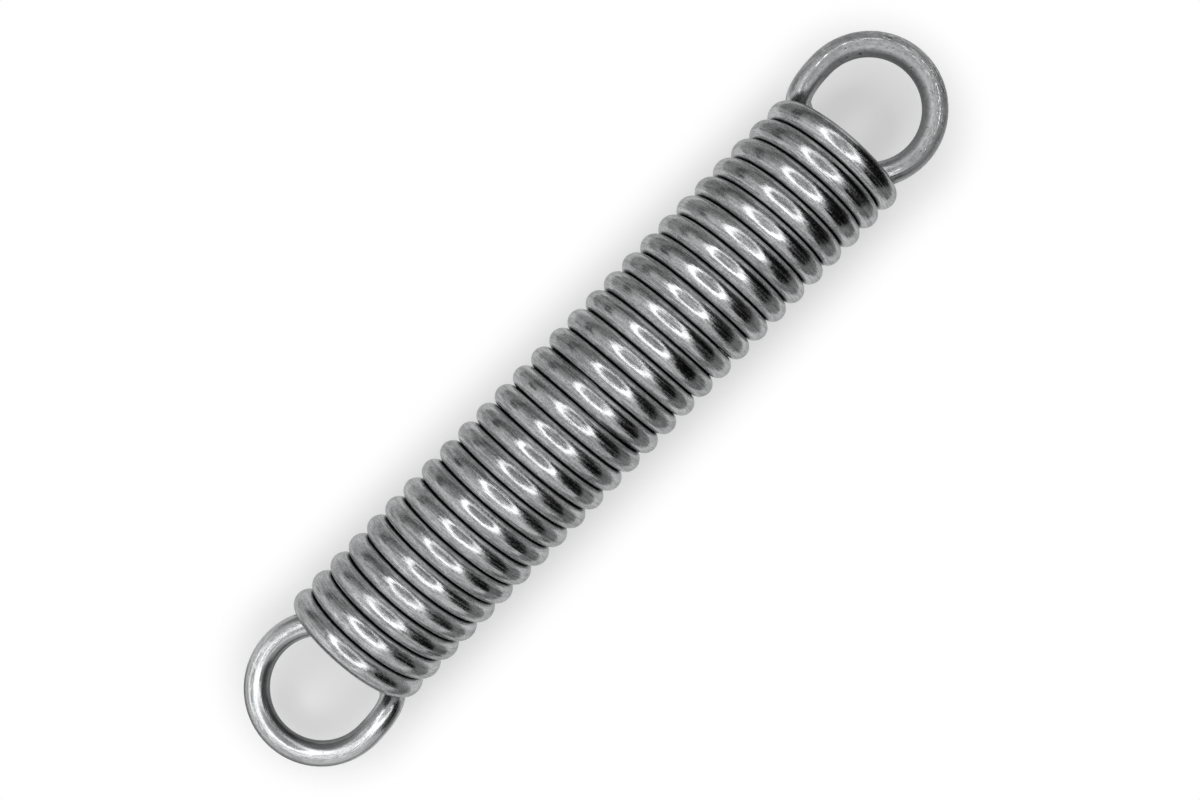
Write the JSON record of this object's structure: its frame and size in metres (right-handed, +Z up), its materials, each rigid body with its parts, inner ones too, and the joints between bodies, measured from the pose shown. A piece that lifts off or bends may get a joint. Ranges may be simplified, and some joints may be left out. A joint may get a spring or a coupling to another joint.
{
  "type": "extension spring",
  "caption": "Close-wound extension spring of round steel wire with a full round loop over centre at each end, to be hooked between two posts and pulled.",
  "frame": {"origin": "on the coil's axis, halfway between the two end loops", "axes": "+X along the coil's axis, from one loop to the other; +Z up, square to the plane of both loops; the spring lies on its side on a surface, touching it with the undersides of its turns"},
  "size_m": [0.147, 0.0262, 0.0238],
  "materials": {
    "spring_wire": "drawn spring steel wire, semi-gloss, with fine lengthwise draw marks"
  },
  "bodies": {
    "root": {"extension_spring": "spring_wire"}
  },
  "joints": []
}
